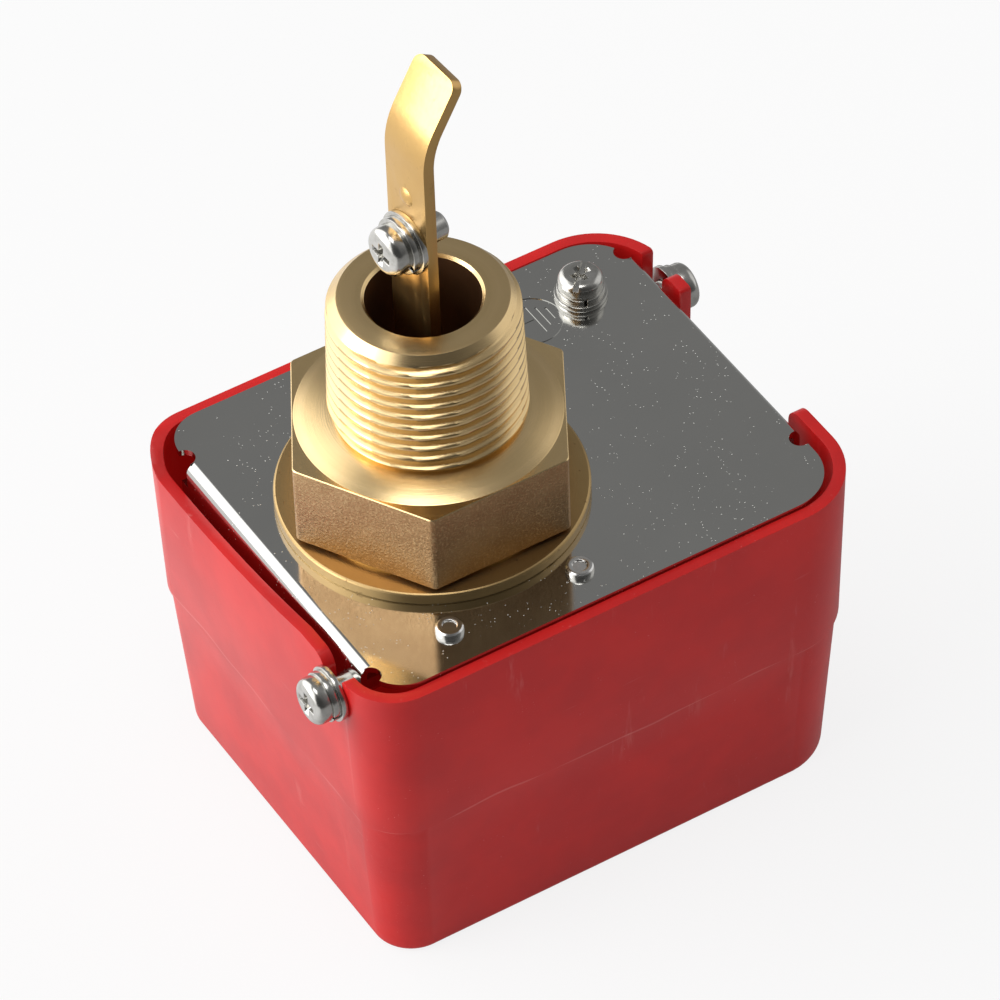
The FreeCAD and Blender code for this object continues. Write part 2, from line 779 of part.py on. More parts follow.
def arm_axis():
    return FreeCAD.Rotation(UP, strip_turn).multVec(Vector(-1, 0, 0))


def make_paddle_arm():
    strip = strip_blank().cut(strip_tip_cut())
    tip_z = plate_top + strip_tip_height - 5
    tip_edges = []
    for edge in strip.Edges:
        level = edge.BoundBox.ZMin > tip_z and abs(edge.Length - strip_thickness) < 0.05
        if level:
            tip_edges.append(edge)
    strip = strip.makeFillet(strip_tip_round, tip_edges)
    half = strip_thickness / 2
    ball = (dimple_radius ** 2 + dimple_rise ** 2) / (2 * dimple_rise)
    centre = arm_point(-half - dimple_rise + ball, dimple_height)
    bump = Part.makeSphere(ball, centre)
    left_side = rod(dimple_radius * 2, arm_point(-half - dimple_rise - 1, dimple_height),
                    arm_point(-half + 0.2, dimple_height))
    strip = strip.fuse(bump.common(left_side))
    hollow = Part.makeSphere(ball, arm_point(half - dimple_rise + ball, dimple_height))
    strip = strip.cut(hollow)
    hole = rod(arm_screw_size / 2 + screw_play, arm_point(-5, arm_screw_height),
               arm_point(5, arm_screw_height))
    return strip.cut(hole).removeSplitter()


def at_arm_screw(shape):
    """Washer or screw drawn along +Z, placed from the strip's left face outwards."""
    return placed(shape, arm_point(-strip_thickness / 2, arm_screw_height), arm_axis())


def washer_stack(size):
    """Thickness of the flat washer and of the spring washer above it."""
    return size * flat_washer_thickness, size * spring_washer_thickness


def make_paddle_screw():
    flat, spring = washer_stack(arm_screw_size)
    length = flat + spring + strip_thickness + arm_screw_stickout
    screw = pan_screw(arm_screw_size, length, arm_head_radius, arm_head_height)
    screw.translate(UP * (flat + spring))
    return at_arm_screw(screw)


def make_paddle_flat_washer():
    flat, _ = washer_stack(arm_screw_size)
    body = ring(arm_flat_radius, arm_screw_size * washer_bore, ORIGIN, UP * flat)
    return at_arm_screw(body)


def make_paddle_spring_washer():
    flat, spring = washer_stack(arm_screw_size)
    top = flat + spring
    body = ring(arm_spring_radius, arm_screw_size * washer_bore, UP * flat, UP * top)
    gap = washer_split(arm_screw_size, flat, top)
    return at_arm_screw(body.cut(gap))


# ---- Cover screws ----
def cover_screw_seats():
    """Outer face of each slot at the rim, with the outward direction."""
    stand_off = cover_wall + washer_to_wall
    left = Vector(plate_left - cover_left_gap - stand_off, left_screw_y, left_screw_z)
    right = Vector(plate_right + cover_right_gap + stand_off, right_screw_y, right_screw_z)
    return ((left, Vector(-1, 0, 0)), (right, EAST))


def at_cover_screws(shape):
    return group([placed(shape, seat, out) for seat, out in cover_screw_seats()])


def make_cover_screws():
    flat, spring = washer_stack(cover_screw_size)
    wall = cover_right_gap + cover_wall + washer_to_wall + sheet
    length = flat + spring + wall + cover_screw_stickout
    screw = pan_screw(cover_screw_size, length, cover_head_radius, cover_head_height)
    screw.translate(UP * (flat + spring))
    return at_cover_screws(screw)


def make_cover_flat_washers():
    flat, _ = washer_stack(cover_screw_size)
    return at_cover_screws(flat_washer(cover_screw_size, flat))


def make_cover_spring_washers():
    flat, spring = washer_stack(cover_screw_size)
    return at_cover_screws(spring_washer(cover_screw_size, spring, flat))


# ---- Earth screw and rivets ----
def at_earth(shape):
    return placed(shape, Vector(earth_x, earth_y, plate_top))


def earth_stack():
    """Heights of the flat washer's top and of the spring washer's top."""
    return earth_flat_thickness, earth_flat_thickness + earth_spring_thickness


def make_earth_screw():
    _, seat = earth_stack()
    length = seat + sheet + earth_stickout
    screw = pan_screw(earth_screw_size, length, earth_head_radius, earth_head_height)
    reach = earth_head_radius + 0.5
    half = earth_slot_width / 2
    slot = box((-reach, -half, earth_head_height - earth_slot_depth), (reach, half, earth_head_height + 1))
    slot.rotate(ORIGIN, UP, 45)
    screw = screw.cut(slot)
    screw.translate(UP * seat)
    return at_earth(screw)


def make_earth_flat_washer():
    flat, _ = earth_stack()
    body = ring(earth_flat_radius, earth_screw_size * washer_bore, ORIGIN, Vector(0, 0, flat))
    return at_earth(body)


def make_earth_spring_washer():
    flat, seat = earth_stack()
    low = Vector(0, 0, flat)
    body = ring(earth_spring_radius, earth_screw_size * washer_bore, low, Vector(0, 0, seat))
    return at_earth(body.cut(washer_split(earth_screw_size, flat, seat)))


def make_frame_rivets():
    rivets = []
    grip = sheet + frame_sheet
    cup_floor = rivet_head_height - rivet_cup_depth
    for x, y in rivet_places:
        head = turned([(0, 0), (rivet_head_radius, 0), (rivet_head_radius, rivet_head_height * 0.7),
                       (rivet_head_radius * 0.8, rivet_head_height),
                       (rivet_cup_radius, rivet_head_height),
                       (rivet_cup_radius, cup_floor), (0, cup_floor)])
        shank = rod(rivet_shank_radius, Vector(0, 0, -grip), Vector(0, 0, 0.1))
        tail = rod(rivet_head_radius, Vector(0, 0, -grip - rivet_tail_height), Vector(0, 0, -grip))
        rivets.append(placed(head.fuse(shank).fuse(tail), Vector(x, y, plate_top)))
    return group(rivets)


# ---- Mechanism frame ----
def make_mechanism_frame():
    """Sheet frame under the plate: web, two pivot cheeks, and a leg with the spring's shelf."""
    low = frame_under
    web = box((-frame_left, -frame_near, low), (frame_waist, frame_far, plate_under))
    tongue_far = plunger_off_centre + bracket_half_width
    web = web.fuse(box((frame_waist, plunger_off_centre - bracket_half_width, low),
                       (frame_right, tongue_far, plate_under)))
    half_gap = cheek_gap / 2
    window = box((-frame_window, -half_gap, low - 1), (frame_window, half_gap, plate_under + 1))
    web = web.cut(window)
    cheek_low = pivot_z - cheek_below_pivot
    for side in (-1, 1):
        inner = side * half_gap
        outer = side * (half_gap + frame_sheet)
        web = web.fuse(box((-cheek_half_length, min(inner, outer), cheek_low),
                           (cheek_half_length, max(inner, outer), low)))
    leg_near = -(half_gap + frame_sheet)
    web = web.fuse(box((cheek_half_length, leg_near, shelf_bottom),
                       (leg_right, leg_near + frame_sheet, low)))
    web = web.fuse(box((cheek_half_length, leg_near, shelf_bottom),
                       (leg_right, shelf_half_width - leg_short, shelf_top)))
    pin = rod(pin_radius + running_play, Vector(0, -cheek_gap, pivot_z), Vector(0, cheek_gap, pivot_z))
    screw = rod(range_screw_size / 2 + running_play, Vector(range_reach, 0, shelf_bottom - 1),
                Vector(range_reach, 0, shelf_top + 1))
    web = web.cut(pin).cut(screw)
    holes = [(x, y, fitting_screw_size / 2 + screw_play) for x, y in fitting_screw_places()]
    holes += [(x, y, rivet_shank_radius + screw_play) for x, y in rivet_places]
    holes += [(x, y, bracket_screw_size / 2 + screw_play) for x, y in bracket_screw_places()]
    for x, y, radius in holes:
        web = web.cut(rod(radius, Vector(x, y, low - 1), Vector(x, y, plate_under + 1)))
    return web.removeSplitter()


def make_pivot_pin():
    reach = cheek_gap / 2 + frame_sheet + clip_thickness + pin_end
    return rod(pin_radius, Vector(0, -reach, pivot_z), Vector(0, reach, pivot_z))


def make_pin_clips():
    outer = cheek_gap / 2 + frame_sheet
    inner = pin_radius
    return group([clip(clip_radius, inner, clip_thickness, Vector(0, side * outer, pivot_z),
                       NORTH * side) for side in (-1, 1)])


# ---- Rocker ----
def make_rocker_lever():
    """Hub on the pivot pin with a socket for the stem, and an arm to the spring and the switch."""
    hub = box((-hub_half_length, -hub_half_width, pivot_z - hub_below_pivot),
              (hub_half_length, hub_half_width, pivot_z + hub_above_pivot))
    arm = box((hub_half_length - 1, -lever_half_width, lever_under),
              (trip_reach + lever_half_width, lever_half_width, lever_top))
    ends = [edge for edge in arm.Edges
            if edge.BoundBox.ZLength > 1 and edge.BoundBox.XMin > trip_reach]
    arm = arm.makeFillet(lever_half_width * 0.6, ends)
    lever = hub.fuse(arm)
    pin_hole = rod(pin_radius + running_play, Vector(0, -cheek_gap, pivot_z), Vector(0, cheek_gap, pivot_z))
    lever = lever.cut(pin_hole)
    top = pivot_z + hub_above_pivot
    lever = lever.cut(rod(stem_radius, Vector(0, 0, top - stem_socket), Vector(0, 0, top + 1)))
    hole = rod(trip_screw_size / 2 + screw_play, Vector(trip_reach, 0, lever_under - 1),
               Vector(trip_reach, 0, lever_top + 1))
    return lever.cut(hole).removeSplitter()


def make_trip_screw():
    """Grub screw with a domed foot and a driver slot."""
    radius = trip_screw_size / 2
    low = lever_under - trip_screw_below
    high = lever_top + trip_screw_above
    shank = rod(radius, Vector(trip_reach, 0, low + radius * 0.6), Vector(trip_reach, 0, high))
    dome = Part.makeSphere(radius * 1.2, Vector(trip_reach, 0, low + radius * 1.2))
    dome = dome.common(rod(radius, Vector(trip_reach, 0, low), Vector(trip_reach, 0, low + radius * 1.2)))
    slot = box((trip_reach - radius - 1, -trip_slot_width / 2, high - trip_slot_depth),
               (trip_reach + radius + 1, trip_slot_width / 2, high + 1))
    return shank.fuse(dome).cut(slot).removeSplitter()


def make_trip_locknut():
    nut = hexagon(trip_nut_flats, lever_top, lever_top + trip_nut_height)
    nut = nut.cut(rod(trip_screw_size / 2 + screw_play, Vector(0, 0, lever_top - 1),
                      Vector(0, 0, lever_top + trip_nut_height + 1)))
    nut.translate(EAST * trip_reach)
    return nut


# ---- Range spring ----
def make_range_spring():
    """Coil spring that stands on its seat nut and reaches up to the lever."""
    half = spring_wire / 2
    rise = spring_length - spring_wire - 0.1
    helix = Part.makeHelix(rise / spring_turns, rise, spring_radius)
    section = Part.Wire([Part.makeCircle(half, Vector(spring_radius, 0, 0), NORTH)])
    spring = Part.Wire(helix).makePipeShell([section], True, True)
    spring.translate(Vector(range_reach, 0, nut_top + half + 0.05))
    return spring


def make_range_screw():
    """Slotted head under the shelf, plain journal through it, and a threaded shank above."""
    shank_top = nut_top + range_shank_above_nut
    radius = range_screw_size / 2
    head = rod(range_head_radius, Vector(range_reach, 0, shelf_bottom - range_head_height),
               Vector(range_reach, 0, shelf_bottom))
    head_low = shelf_bottom - range_head_height
    slot = box((range_reach - range_head_radius - 1, -range_slot / 2, head_low - 1),
               (range_reach + range_head_radius + 1, range_slot / 2, head_low + range_slot))
    shank = rod(radius, Vector(range_reach, 0, shelf_bottom - 0.5), Vector(range_reach, 0, shank_top))
    groove = ring(radius + 1, radius - range_groove, Vector(range_reach, 0, shelf_top),
                  Vector(range_reach, 0, range_clip_top))
    return head.cut(slot).fuse(shank).cut(groove).removeSplitter()


def make_range_clip():
    journal = range_screw_size / 2 - range_groove + running_play
    return clip(range_clip_radius, journal, clip_thickness, Vector(range_reach, 0, shelf_top), UP)


def make_range_nut():
    """Round spring seat with an ear that runs along the frame's leg and keeps it from turning."""
    low = Vector(range_reach, 0, nut_bottom)
    high = Vector(range_reach, 0, nut_top)
    leg_face = -(cheek_gap / 2)
    body = rod(nut_radius, low, high)
    ear = box((range_reach - nut_ear_half_width, leg_face + nut_ear_gap, nut_bottom),
              (range_reach + nut_ear_half_width, 0, nut_top))
    bore = rod(range_screw_size / 2 + running_play, low - UP, high + UP)
    return body.fuse(ear).cut(bore).removeSplitter()


# ---- Switch ----
def switch_screw_places():
    half = switch_hole_pitch / 2
    z = switch_bottom + switch_hole_height
    return [Vector(0, switch_middle + side * half, z) for side in (-1, 1)]


def switch_holes(x_low, x_high):
    holes = []
    for place in switch_screw_places():
        start = Vector(x_low, place.y, place.z)
        end = Vector(x_high, place.y, place.z)
        holes.append(rod(switch_screw_size / 2 + screw_play, start, end))
    return holes


def switch_block(low, high):
    block = box((switch_left, switch_middle - switch_length / 2, low),
                (switch_right, switch_middle + switch_length / 2, high))
    uprights = [edge for edge in block.Edges if edge.BoundBox.ZLength > 1]
    return block.makeFillet(switch_corner, uprights)


def make_switch_body():
    body = switch_block(switch_bottom, switch_top - switch_lid_height)
    for hole in switch_holes(switch_left - 1, switch_right + 1):
        body = body.cut(hole)
    guide_low = switch_top - switch_lid_height - guide_depth
    guide = rod(plunger_radius + guide_play, Vector(trip_reach, 0, guide_low),
                Vector(trip_reach, 0, switch_top))
    body = body.cut(guide)
    for y in terminal_places():
        pocket = rod(terminal_screw_size / 2 + screw_play, Vector(trip_reach, y, switch_bottom - 1),
                     Vector(trip_reach, y, switch_bottom + terminal_drop + 1))
        body = body.cut(pocket)
    return body.removeSplitter()


def make_switch_lid():
    lid = switch_block(switch_top - switch_lid_height, switch_top)
    guide = rod(plunger_radius + running_play, Vector(trip_reach, 0, switch_bottom),
                Vector(trip_reach, 0, switch_top + 1))
    return lid.cut(guide).removeSplitter()


def make_switch_plunger():
    top = switch_top + plunger_rise
    low = switch_top - switch_lid_height
    stem = rod(plunger_radius, Vector(trip_reach, 0, low), Vector(trip_reach, 0, top))
    rims = [edge for edge in stem.Edges if abs(edge.BoundBox.ZMin - top) < 0.01]
    return stem.makeFillet(0.6, rims)


def terminal_places():
    return [switch_middle + step * terminal_pitch for step in (-1, 0, 1)]


def make_switch_terminals():
    """Three flat terminals under the switch, each with a turned-down end."""
    terminals = []
    half = terminal_width / 2
    low = switch_bottom - terminal_thickness
    for y in terminal_places():
        left = switch_left + terminal_inset
        tab = box((left, y - half, low), (switch_right - terminal_inset, y + half, switch_bottom))
        lip = box((left, y - half, low - terminal_drop), (left + terminal_thickness, y + half, low))
        hole = rod(terminal_screw_size / 2 + screw_play, Vector(trip_reach, y, low - 1),
                   Vector(trip_reach, y, switch_bottom + 1))
        terminals.append(tab.fuse(lip).cut(hole).removeSplitter())
    return group(terminals)


def make_terminal_screws():
    screw = pan_screw(terminal_screw_size, terminal_thickness + terminal_drop)
    low = switch_bottom - terminal_thickness
    return group([placed(screw, Vector(trip_reach, y, low), DOWN) for y in terminal_places()])


def make_switch_insulator():
    sheet_body = box((switch_right, switch_middle - bracket_half_width, switch_bottom),
                     (bracket_left, switch_middle + bracket_half_width, switch_top))
    for hole in switch_holes(switch_right - 1, bracket_left + 1):
        sheet_body = sheet_body.cut(hole)
    return sheet_body


def bracket_screw_places():
    x = bracket_left + bracket_sheet + (bracket_foot - bracket_sheet) / 2
    return [(x, switch_middle + side * bracket_screw_pitch / 2) for side in (-1, 1)]


def make_switch_bracket():
    """Angle bracket: foot under the frame, and an upright that carries the switch."""
    upright = box((bracket_left, switch_middle - bracket_half_width, switch_bottom),
                  (bracket_left + bracket_sheet, switch_middle + bracket_half_width, frame_under))
    foot = box((bracket_left, switch_middle - bracket_half_width, frame_under - bracket_sheet),
               (bracket_left + bracket_foot, switch_middle + bracket_half_width, frame_under))
    bracket = upright.fuse(foot)
    for hole in switch_holes(bracket_left - 1, bracket_left + bracket_sheet + 1):
        bracket = bracket.cut(hole)
    for x, y in bracket_screw_places():
        bracket = bracket.cut(rod(bracket_screw_size / 2 + screw_play,
                                  Vector(x, y, frame_under - bracket_sheet - 1),
                                  Vector(x, y, frame_under + 1)))
    return bracket.removeSplitter()


def make_bracket_screws():
    screw = pan_screw(bracket_screw_size, bracket_sheet + frame_sheet)
    low = frame_under - bracket_sheet
    return group([placed(screw, Vector(x, y, low), DOWN) for x, y in bracket_screw_places()])


def make_switch_screws():
    grip = switch_thickness + insulator_sheet + bracket_sheet
    nut = switch_screw_size * nut_height
    screw = pan_screw(switch_screw_size, grip + nut + switch_screw_end)
    return group([placed(screw, Vector(switch_left, place.y, place.z), Vector(-1, 0, 0))
                  for place in switch_screw_places()])


def make_switch_nuts():
    nut = hexagon(switch_screw_size * nut_flats, 0, switch_screw_size * nut_height)
    nut = nut.cut(rod(switch_screw_size / 2 + screw_play, DOWN, UP * switch_screw_size))
    face = bracket_left + bracket_sheet
    return group([placed(nut, Vector(face, place.y, place.z), EAST)
                  for place in switch_screw_places()])


# ---- Write every piece ----
PIECES = {
    "cover": make_cover,
    "base_plate": make_base_plate,
    "threaded_fitting": make_threaded_fitting,
    "fitting_screws": make_fitting_screws,
    "bellows_flange": make_bellows_flange,
    "bellows": make_bellows,
    "lever_stem": make_lever_stem,
    "paddle_arm": make_paddle_arm,
    "paddle_screw": make_paddle_screw,
    "paddle_spring_washer": make_paddle_spring_washer,
    "paddle_flat_washer": make_paddle_flat_washer,
    "cover_screws": make_cover_screws,
    "cover_spring_washers": make_cover_spring_washers,
    "cover_flat_washers": make_cover_flat_washers,
    "earth_screw": make_earth_screw,
    "earth_spring_washer": make_earth_spring_washer,
    "earth_flat_washer": make_earth_flat_washer,
    "frame_rivets": make_frame_rivets,
    "mechanism_frame": make_mechanism_frame,
    "pivot_pin": make_pivot_pin,
    "pin_clips": make_pin_clips,
    "rocker_lever": make_rocker_lever,
    "trip_screw": make_trip_screw,
    "trip_locknut": make_trip_locknut,
    "range_spring": make_range_spring,
    "range_screw": make_range_screw,
    "range_clip": make_range_clip,
    "range_nut": make_range_nut,
    "switch_body": make_switch_body,
    "switch_lid": make_switch_lid,
    "switch_plunger": make_switch_plunger,
    "switch_terminals": make_switch_terminals,
    "terminal_screws": make_terminal_screws,
    "switch_insulator": make_switch_insulator,
    "switch_bracket": make_switch_bracket,
    "bracket_screws": make_bracket_screws,
    "switch_screws": make_switch_screws,
    "switch_nuts": make_switch_nuts,
}

os.makedirs("parts", exist_ok=True)
for name, make in PIECES.items():
    shape = make()
    print(name, "solids", len(shape.Solids), "valid", shape.isValid(), "volume", round(shape.Volume, 1))
    shape.exportStep("parts/" + name + ".step")
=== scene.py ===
"""Looks of a paddle flow switch: red moulded cover, mirror-plated plate, brass pipe fitting and arm.

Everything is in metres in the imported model's frame: +Z up along the pipe thread, the cover's base
at z = 0. Places come from the CAD nodes' boxes and from the few named sizes below.
"""
import json
import math

import bmesh
import bpy
from mathutils import Matrix, Vector


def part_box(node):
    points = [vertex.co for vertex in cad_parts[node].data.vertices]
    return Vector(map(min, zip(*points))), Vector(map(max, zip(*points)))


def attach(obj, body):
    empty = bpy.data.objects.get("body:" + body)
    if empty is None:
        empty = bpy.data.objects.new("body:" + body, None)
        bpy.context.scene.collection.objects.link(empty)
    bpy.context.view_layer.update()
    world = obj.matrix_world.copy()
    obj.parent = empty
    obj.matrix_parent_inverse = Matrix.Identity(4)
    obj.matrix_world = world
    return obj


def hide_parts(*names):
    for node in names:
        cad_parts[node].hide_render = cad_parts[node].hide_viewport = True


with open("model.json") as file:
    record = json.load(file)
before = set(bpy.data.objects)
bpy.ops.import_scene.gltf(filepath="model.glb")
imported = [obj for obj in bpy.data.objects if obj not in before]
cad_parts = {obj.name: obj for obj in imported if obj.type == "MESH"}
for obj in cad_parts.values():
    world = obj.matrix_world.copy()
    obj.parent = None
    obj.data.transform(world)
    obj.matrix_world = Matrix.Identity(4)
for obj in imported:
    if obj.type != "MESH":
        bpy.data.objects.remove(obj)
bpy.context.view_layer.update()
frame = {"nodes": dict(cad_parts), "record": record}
NODES = frame["nodes"]
MM = 0.001
TURN = 2 * math.pi

# ---- Places read from the frame ----
PLATE_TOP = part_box("base_plate")[1].z
NIPPLE_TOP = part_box("threaded_fitting")[1].z

# ---- Sizes of the dressed shapes, as the solids have them ----
DISC_RADIUS = 26.9 * MM
DISC_TOP = PLATE_TOP + 2.3 * MM
DISC_CHAMFER = 0.4 * MM
HEX_FLATS = 46.0 * MM
HEX_ROUND = 1.1 * MM
HEX_LOW = DISC_TOP + 0.75 * MM
HEX_NECK = 22.6 * MM
HEX_TOP = PLATE_TOP + 19.2 * MM
CONE_RADIUS = 22.9 * MM
CONE_TOP = HEX_TOP + 1.4 * MM
NECK_RADIUS = 15.8 * MM
BORE_RADIUS = 9.8 * MM
LIP = 0.5 * MM
THREAD_RADIUS = 16.35 * MM
THREAD_PITCH = 2.309 * MM
THREAD_DEPTH = 1.3 * MM
THREAD_TAPER = 1 / 32
CREST_SHARE = 0.10         # half of the flat crest, share of the pitch
FLANK_SHARE = 0.34         # one flank, share of the pitch
END_CHAMFER = 2.0 * MM
END_FACE = 14.4 * MM
RINGS_PER_PITCH = 14
PARTING_HEIGHT = 33.0 * MM

# The two rivets: a hair apart in y, so both stand on the line between them.
RIVET_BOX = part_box("frame_rivets")
RIVET_RADIUS = (RIVET_BOX[1].y - RIVET_BOX[0].y) / 2 - 0.05 * MM
RIVET_Y = (RIVET_BOX[0].y + RIVET_BOX[1].y) / 2
RIVET_SHANK = 1.5 * MM
RIVET_TAIL = 1.0 * MM
RIVET_CUP = 1.3 * MM
RIVET_CUP_DEPTH = 0.35 * MM
RIVET_PLACES = [((x, RIVET_Y, PLATE_TOP), (0, 0, 1), 0.0)
                for x in (RIVET_BOX[0].x + RIVET_RADIUS, RIVET_BOX[1].x - RIVET_RADIUS)]


# ---- Shader maths ----
class Socket:
    """A shader socket. Arithmetic on it adds Math nodes to the finish's tree."""

    def __init__(self, finish, link):
        self.finish = finish
        self.link = link

    def math(self, operation, first, second=0.0):
        return self.finish.node("ShaderNodeMath", {"operation": operation}, {0: first, 1: second})

    def __add__(self, other):
        return self.math("ADD", self, other)

    def __radd__(self, other):
        return self.math("ADD", other, self)

    def __sub__(self, other):
        return self.math("SUBTRACT", self, other)

    def __rsub__(self, other):
        return self.math("SUBTRACT", other, self)

    def __mul__(self, other):
        return self.math("MULTIPLY", self, other)

    def __rmul__(self, other):
        return self.math("MULTIPLY", other, self)

    def __truediv__(self, other):
        return self.math("DIVIDE", self, other)

    def __rtruediv__(self, other):
        return self.math("DIVIDE", other, self)

    def __pow__(self, other):
        return self.math("POWER", self, other)

    def __rpow__(self, other):
        return self.math("POWER", other, self)

    def __neg__(self):
        return self.math("MULTIPLY", self, -1.0)


class Graph:
    """Nodes of one material, of the room or of a Geometry Nodes group."""

    def __init__(self, tree):
        self.tree = tree
        self.tree.nodes.clear()

    def feed(self, socket, value):
        if isinstance(value, Socket):
            self.tree.links.new(value.link, socket)
        elif isinstance(value, tuple) and len(value) == 3 and socket.type == "RGBA":
            socket.default_value = (*value, 1.0)
        else:
            socket.default_value = value

    def node(self, kind, settings=None, inputs=None, output=0):
        """Adds a node with its settings and inputs, and returns one of its outputs."""
        made = self.tree.nodes.new(kind)
        for key, value in (settings or {}).items():
            setattr(made, key, value)
        for key, value in (inputs or {}).items():
            self.feed(made.inputs[key], value)
        return Socket(self, made.outputs[output])

    def place(self, scale=(1, 1, 1)):
        """Object coordinates, stretched."""
        point = self.node("ShaderNodeTexCoord", output=3)
        return self.node("ShaderNodeMapping", inputs={"Vector": point, "Scale": scale})

    def noise(self, scale, detail=3.0, rough=0.55, stretch=(1, 1, 1), vector=None):
        return self.node("ShaderNodeTexNoise", inputs={
            "Vector": vector or self.place(stretch), "Scale": scale, "Detail": detail, "Roughness": rough})

    def cells(self, scale, feature="F1"):
        return self.node("ShaderNodeTexVoronoi", {"feature": feature},
                         {"Vector": self.place(), "Scale": scale})

    def between(self, value, low, high):
        """Smooth step from 0 to 1 as a value goes from low to high."""
        return self.node("ShaderNodeMapRange", {"interpolation_type": "SMOOTHSTEP"}, {
            "Value": value, "From Min": low, "From Max": high, "To Min": 0.0, "To Max": 1.0})

    def blend(self, factor, first, second):
        return self.node("ShaderNodeMix", {"data_type": "RGBA"}, {0: factor, 6: first, 7: second}, output=2)

    def axes(self):
        """Object x, y and z as three sockets."""
        point = self.node("ShaderNodeTexCoord", output=3)
        split = self.tree.nodes.new("ShaderNodeSeparateXYZ")
        self.tree.links.new(point.link, split.inputs[0])
        return [Socket(self, split.outputs[i]) for i in range(3)]

    def joined(self, x, y, z):
        return self.node("ShaderNodeCombineXYZ", inputs={0: x, 1: y, 2: z})

    def bump(self, height, depth, strength=1.0, normal=None):
        inputs = {"Height": height, "Distance": depth, "Strength": strength}
        if normal:
            inputs["Normal"] = normal
        return self.node("ShaderNodeBump", inputs=inputs)

    def light_path(self, kind):
        """1 for rays of one kind, such as Is Camera Ray."""
        path = self.tree.nodes.new("ShaderNodeLightPath")
        return Socket(self, path.outputs[kind])


class Finish(Graph):
    """One material and its node tree."""

    def __init__(self, name):
        self.material = bpy.data.materials.new(name)
        self.material.use_nodes = True
        super().__init__(self.material.node_tree)
        self.output = self.tree.nodes.new("ShaderNodeOutputMaterial")
        self.shader = self.tree.nodes.new("ShaderNodeBsdfPrincipled")
        self.tree.links.new(self.shader.outputs[0], self.output.inputs[0])

    def set(self, **values):
        """Shader inputs by name, with underscores for spaces."""
        for key, value in values.items():
            self.feed(self.shader.inputs[key.replace("_", " ")], value)
        return self.material


# ---- Finishes ----
def red_plastic():
    """Moulded red plastic with a soft gloss, fine scuffs, a little pale dust, a faint mould seam and a
    faint painted glow that stands in for light passing through the plastic.
    """
    f = Finish("red_plastic")
    patches = f.noise(60, 3)
    fine = f.noise(900, 4, 0.65)
    scuffs = f.between(f.noise(260, 4, 0.7, (1, 1, 0.16)), 0.60, 0.74) * f.between(patches, 0.42, 0.62)
    streaks = f.between(f.noise(420, 3, 0.6, (0.10, 0.10, 1)), 0.68, 0.76) * f.between(patches, 0.5, 0.66)
    dust = f.between(f.noise(2600, 2), 0.69, 0.78) * f.between(f.noise(130, 3), 0.45, 0.7)
    colour = f.blend(f.between(patches, 0.3, 0.7), (0.52, 0.010, 0.009), (0.42, 0.008, 0.009))
    _, _, z = f.axes()
    off_seam = z - PARTING_HEIGHT + (f.noise(28, 2) - 0.5) * 0.006
    seam = 1 - f.between((off_seam * off_seam) ** 0.5, 0.00008, 0.00030)
    marks = scuffs * 0.14 + streaks * 0.14 + dust * 0.45 + seam * 0.16
    colour = f.blend(marks, colour, (0.85, 0.52, 0.48))
    rough = 0.30 + patches * 0.06 + scuffs * 0.15 + dust * 0.3
    wave = f.bump(f.noise(45, 2), 0.00035, 0.5)
    # The emission is a painted glow. It lifts the shaded inside of the walls and stands in for light
    # passing through the plastic.
    return f.set(Base_Color=colour, Roughness=rough, IOR=1.50,
                 Emission_Color=(0.60, 0.008, 0.006), Emission_Strength=0.14,
                 Normal=f.bump(fine, 0.00002, 0.6, wave))


def plated_steel():
    """Mirror-bright plating on sheet steel, with fine specks."""
    f = Finish("plated_steel")
    haze = f.noise(35, 4, 0.6)
    specks = 1 - f.between(f.cells(1300), 0.07, 0.15)
    sparse = f.between(f.noise(190, 3), 0.45, 0.56)
    specks = specks * sparse
    colour = f.blend(haze, (0.50, 0.50, 0.48), (0.58, 0.575, 0.55))
    colour = f.blend(specks * 0.8, colour, (0.9, 0.89, 0.84))
    rough = 0.085 + haze * 0.05 + specks * 0.35
    ripple = f.bump(f.noise(55, 2), 0.00010, 0.35)
    return f.set(Base_Color=colour, Metallic=1.0, Roughness=rough,
                 Normal=f.bump(specks, 0.00003, 1.0, ripple))


def turned_brass():
    """Machined brass with fine lathe lines that run round the thread's axis."""
    f = Finish("turned_brass")
    x, y, z = f.axes()
    radius = (x * x + y * y) ** 0.5
    rings = f.noise(1.0, 3, 0.7, vector=f.joined(radius * 5200, z * 5200, 0.0))
    bands = f.noise(1.0, 2, 0.5, vector=f.joined(radius * 700, z * 700, 3.0))
    stain = f.noise(140, 4, 0.6)
    colour = f.blend(stain, (0.84, 0.62, 0.33), (0.76, 0.55, 0.27))
    colour = f.blend(f.between(bands, 0.35, 0.7) * 0.35, colour, (0.66, 0.47, 0.22))
    rough = 0.15 + rings * 0.13 + stain * 0.05
    return f.set(Base_Color=colour, Metallic=1.0, Roughness=rough,
                 Normal=f.bump(rings, 0.000025, 0.55))


def cast_brass():
    """Sand-cast brass: pebbled, duller and browner than the turned faces."""
    f = Finish("cast_brass")
    pebble = f.noise(2300, 3, 0.6)
    grain = f.cells(2700, feature="SMOOTH_F1")
    stain = f.noise(90, 4, 0.6)
    colour = f.blend(f.between(stain, 0.3, 0.7), (0.52, 0.335, 0.17), (0.40, 0.24, 0.115))
    colour = f.blend(f.between(pebble, 0.45, 0.75), colour, (0.66, 0.46, 0.25))
    rough = 0.36 + f.between(pebble, 0.3, 0.8) * 0.18
    rough_skin = f.bump(pebble + grain * 0.6, 0.00010, 1.0)
    return f.set(Base_Color=colour, Metallic=1.0, Roughness=rough, Normal=rough_skin)


